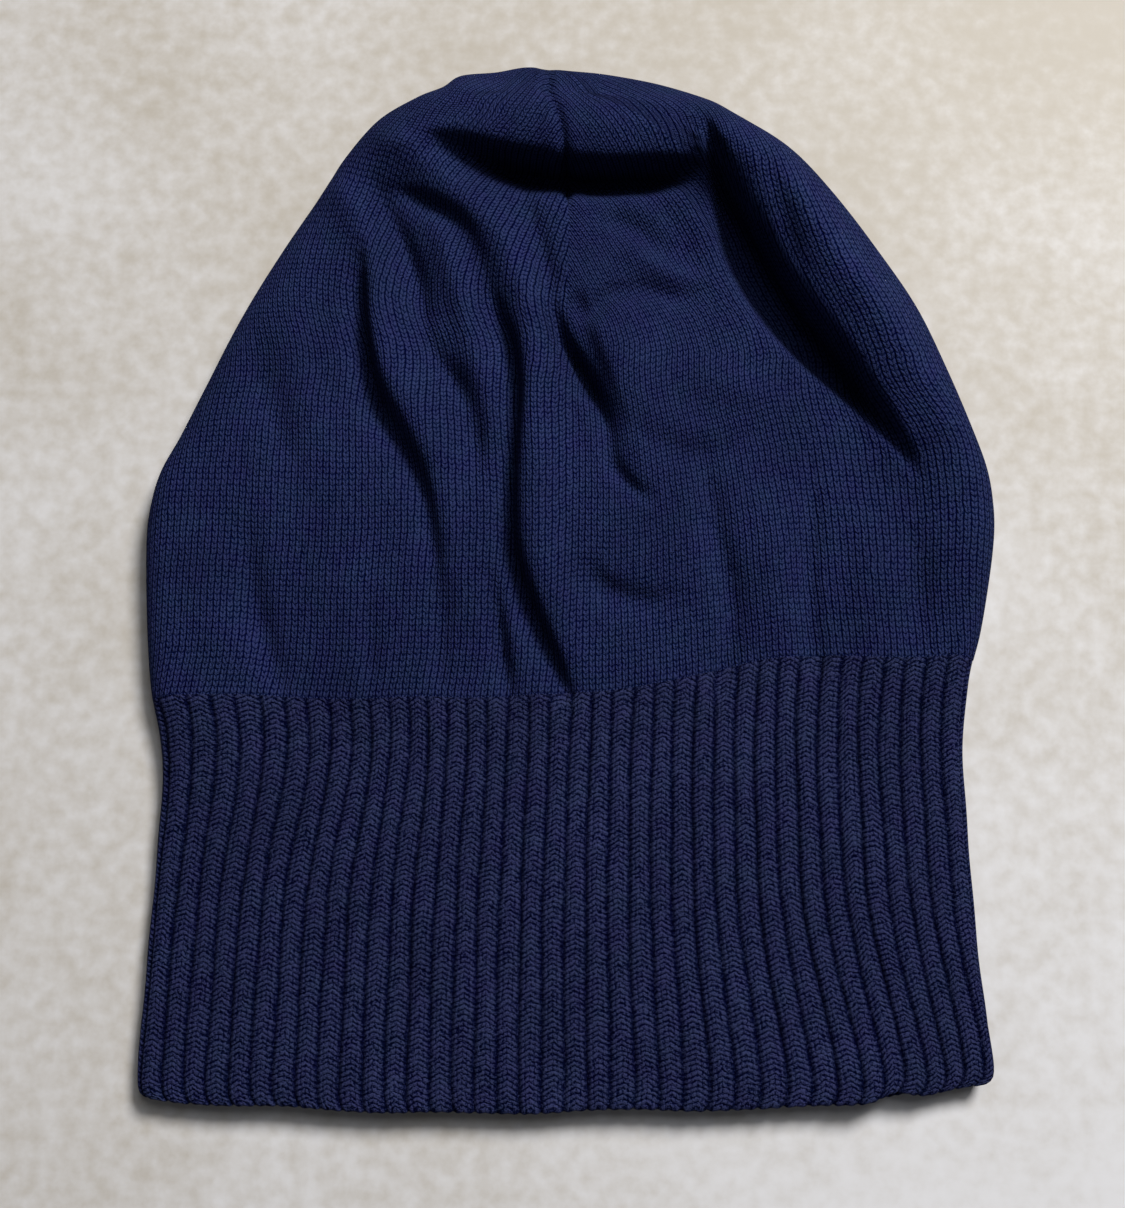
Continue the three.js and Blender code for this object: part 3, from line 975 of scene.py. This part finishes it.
def thread_material(name, colours, bump):
    """Overlock thread: fine loops that lean across the allowance, with painted shade between the loops.
    """
    material, tree, m = new_material(name)
    u, v, place = knit_coordinates(tree, m, 0.1, 0.2)
    phase = m.frac(m.add(m.mul(v, 1.5), m.mul(m.abs(u), 0.7)))
    strand = m.sub(1.0, m.power(m.abs(m.sub(m.mul(phase, 2.0), 1.0)), 2.0))
    fibre = m.noise(place, 3000.0)
    # Painted shade: the tone is darker between the loops.
    shaded_tone = m.add(strand, m.mul(fibre, 0.5))
    finish_wool(tree, m, place, shaded_tone, m.add(strand, m.mul(fibre, 0.2)), colours, bump)
    return material


# The wool's colours for the ramp, dark to light: the lighter ones are the yarn's, the darkest is
# painted shade in the gaps between stitches.
RIB_COLOURS = ((0.0001, 0.0006, 0.0110), (0.0024, 0.0044, 0.0290), (0.0300, 0.0365, 0.1010))
JERSEY_COLOURS = ((0.0001, 0.0011, 0.0215), (0.0031, 0.0077, 0.0440), (0.0245, 0.0340, 0.1070))
rib_wool = rib_material("rib_wool", RIB_COLOURS, 1.0)
jersey_wool = jersey_material("jersey_wool", JERSEY_COLOURS, 1.0)
seam_thread = thread_material("seam_thread", RIB_COLOURS, 0.8)

# ---------------------------------------------------------------- build
layout = rib_layout()
hem, band, band_inner, band_normal = make_band(*layout)
crown_pieces, crown_inner, crown_normal, crown_around = make_crown(*layout)


def dart_strip(name, place, rows):
    column = int(np.argmin(np.abs(crown_around - place)))
    return seam_strip(name, crown_inner, crown_normal, column, BODY_ROWS - 1, BODY_ROWS + rows)


front_seam = dart_strip("front_dart_overlock", 0, FRONT_SEAM_ROWS)
left_seam = dart_strip("left_dart_overlock", -1, SIDE_SEAM_ROWS)
right_seam = dart_strip("right_dart_overlock", 1, SIDE_SEAM_ROWS)
back_seam = back_strip("crown_back_overlock", crown_inner, crown_normal, CROWN_SPREAD,
                       BODY_ROWS + FRONT_SEAM_ROWS)
band_seam = back_strip("band_back_overlock", band_inner, band_normal, BAND_SPREAD, BAND_ROWS - 1)
tack = tack_knot("apex_thread", (APEX[0], APEX[1] - TACK_DEPTH, APEX[2]))

PIECE_ROWS = [
    (hem, ("hem_welt",), "rib_wool", rib_wool),
    (band, ("rib_band",), "rib_wool", rib_wool),
    (front_seam, ("front_dart_seam",), "seam_thread", seam_thread),
    (left_seam, ("left_dart_seam",), "seam_thread", seam_thread),
    (right_seam, ("right_dart_seam",), "seam_thread", seam_thread),
    (back_seam, ("crown_back_seam",), "seam_thread", seam_thread),
    (band_seam, ("band_back_seam",), "seam_thread", seam_thread),
    (tack, ("apex_tack",), "seam_thread", seam_thread),
    (crown_pieces[0], ("crown_body",), "jersey_wool", jersey_wool),
    (crown_pieces[1], ("crown_back_left",), "jersey_wool", jersey_wool),
    (crown_pieces[2], ("crown_front_left",), "jersey_wool", jersey_wool),
    (crown_pieces[3], ("crown_front_right",), "jersey_wool", jersey_wool),
    (crown_pieces[4], ("crown_back_right",), "jersey_wool", jersey_wool),
]
for piece, nodes, slot, material in PIECE_ROWS:
    piece.data.materials.append(material)
    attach(piece, "root")
    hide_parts(*nodes)

# ---------------------------------------------------------------- stage, light and camera
def floor_plaster():
    """Pale, faintly mottled plaster, with painted glare that makes it paler towards the front right."""
    material, tree, m = new_material("floor")
    place = node(tree, "ShaderNodeTexCoord").outputs["Object"]
    cloud = m.add(m.mul(m.noise(place, 14.0, 6.0), 0.5), m.mul(m.noise(place, 190.0, 4.0), 0.5))
    colour = node(tree, "ShaderNodeMix", data_type="RGBA")
    split = node(tree, "ShaderNodeSeparateXYZ")
    tree.links.new(place, split.inputs[0])
    x, y = split.outputs[:2]
    # Painted glare: near the middle the colour leans towards the pale one, most towards the front
    # right.
    near = m.ramp(m.add(m.mul(x, x), m.mul(y, y)), 0.3, 0.05)
    painted_glare = m.sub(0.045, m.mul(m.add(m.mul(y, 0.81), m.mul(m.mul(x, y), 3.65)), near))
    tree.links.new(m.ramp(m.add(cloud, painted_glare), -0.3, 0.42), colour.inputs[0])
    colour.inputs[6].default_value = (0.43, 0.386, 0.32, 1)
    colour.inputs[7].default_value = (0.70, 0.695, 0.71, 1)
    shader = node(tree, "ShaderNodeBsdfPrincipled")
    tree.links.new(colour.outputs[2], shader.inputs["Base Color"])
    shader.inputs["Roughness"].default_value = 0.55
    output = node(tree, "ShaderNodeOutputMaterial")
    tree.links.new(shader.outputs[0], output.inputs[0])
    return material


bpy.ops.mesh.primitive_plane_add(size=6)
floor = bpy.context.object
floor.name = "floor"
floor.location.z = -0.0003
floor.data.materials.append(floor_plaster())


def area_light(name, place, aim, size, power, colour):
    light = bpy.data.lights.new(name, "AREA")
    light.shape = "DISK"
    light.size = size
    light.energy = power
    light.color = colour
    lamp = bpy.data.objects.new(name, light)
    bpy.context.scene.collection.objects.link(lamp)
    lamp.location = place
    lamp.rotation_mode = "QUATERNION"
    lamp.rotation_quaternion = (Vector(aim) - Vector(place)).to_track_quat("-Z", "Y")
    return lamp


area_light("key", (0.99, 1.28, 1.79), (0, 0.02, 0), 0.8, 68, (1.0, 0.985, 0.965))
area_light("fill", (0.30, 0.62, 1.6), (0.05, 0, 0), 0.8, 6, (0.95, 0.97, 1.0))
world = bpy.data.worlds.new("studio")
bpy.context.scene.world = world
world.use_nodes = True
world.node_tree.nodes["Background"].inputs[0].default_value = (0.93, 0.95, 1.0, 1)
world.node_tree.nodes["Background"].inputs[1].default_value = 0.075

ELEVATION = math.radians(80)
DISTANCE = 0.4925
AIM = Vector((-0.002, -0.010, 0.0))
camera_data = bpy.data.cameras.new("camera")
camera_data.lens = 50
camera_data.sensor_width = 36
camera_data.clip_start = 0.01
camera = bpy.data.objects.new("camera", camera_data)
bpy.context.scene.collection.objects.link(camera)
camera.location = AIM + DISTANCE * Vector((0, -math.cos(ELEVATION), math.sin(ELEVATION)))
camera.rotation_mode = "QUATERNION"
camera.rotation_quaternion = (AIM - camera.location).to_track_quat("-Z", "Y")
bpy.context.scene.camera = camera
bpy.context.scene.view_settings.view_transform = "Standard"
